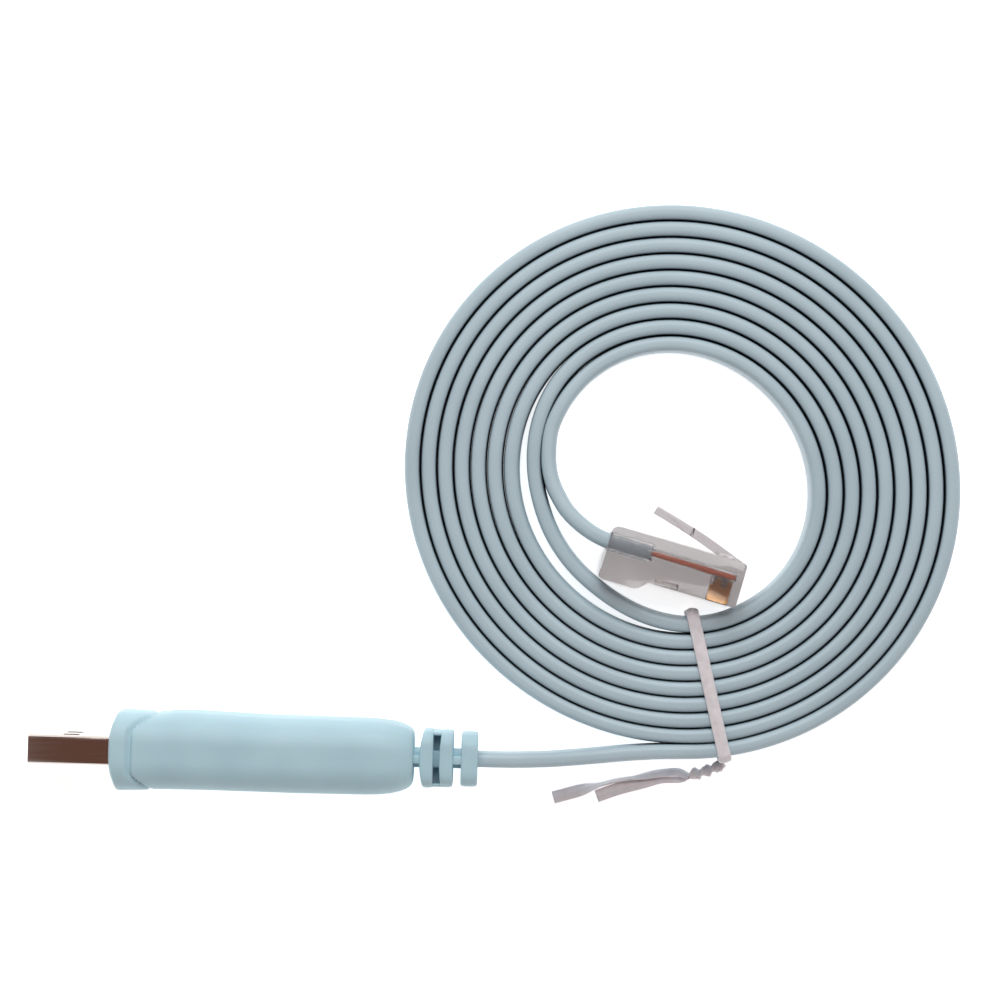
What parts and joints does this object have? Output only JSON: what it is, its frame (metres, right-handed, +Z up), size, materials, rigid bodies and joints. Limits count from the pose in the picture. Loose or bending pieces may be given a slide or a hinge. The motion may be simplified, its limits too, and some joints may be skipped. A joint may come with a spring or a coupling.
{
  "type": "rj45 console cable",
  "caption": "Coiled flat console cable with a USB plug in a moulded housing at one end, a clear modular plug at the other and a twist tie round the coil.",
  "frame": {"origin": "on the level that the cable lies on, under the middle of the box round its two connectors", "axes": "+Z up from that level; +X from the USB plug's mouth along its housing towards the cable, less a slight turn; +Y towards the far side of the coil"},
  "size_m": [0.146, 0.0946, 0.0174],
  "materials": {
    "nickel_steel": "bright nickel plate on folded steel sheet",
    "tongue_plastic": "moulded white insulator",
    "gold_plate": "gold flash on stamped contacts",
    "housing_vinyl": "satin moulded flexible PVC, pale blue",
    "cable_jacket": "satin extruded PVC, pale grey-blue",
    "clear_plastic": "clear moulded polycarbonate",
    "insulation_grey": "extruded wire insulation",
    "insulation_orange": "extruded wire insulation",
    "insulation_black": "extruded wire insulation",
    "insulation_red": "extruded wire insulation",
    "insulation_green": "extruded wire insulation",
    "insulation_yellow": "extruded wire insulation",
    "insulation_blue": "extruded wire insulation",
    "insulation_brown": "extruded wire insulation",
    "tie_vinyl": "pale plastic-covered wire ribbon"
  },
  "bodies": {
    "root": {"usb_shell": "nickel_steel", "usb_tongue": "tongue_plastic", "usb_contact_1": "gold_plate", "usb_contact_2": "gold_plate", "usb_contact_3": "gold_plate", "usb_contact_4": "gold_plate", "usb_housing": "housing_vinyl", "cable_lead": "cable_jacket", "cable_coil": "cable_jacket", "cable_tail": "cable_jacket", "rj45_body": "clear_plastic", "rj45_contact_1": "gold_plate", "rj45_contact_2": "gold_plate", "rj45_contact_3": "gold_plate", "rj45_contact_4": "gold_plate", "rj45_contact_5": "gold_plate", "rj45_contact_6": "gold_plate", "rj45_contact_7": "gold_plate", "rj45_contact_8": "gold_plate", "conductor_1": "insulation_grey", "conductor_2": "insulation_orange", "conductor_3": "insulation_black", "conductor_4": "insulation_red", "conductor_5": "insulation_green", "conductor_6": "insulation_yellow", "conductor_7": "insulation_blue", "conductor_8": "insulation_brown", "twist_tie": "tie_vinyl"}
  },
  "joints": []
}
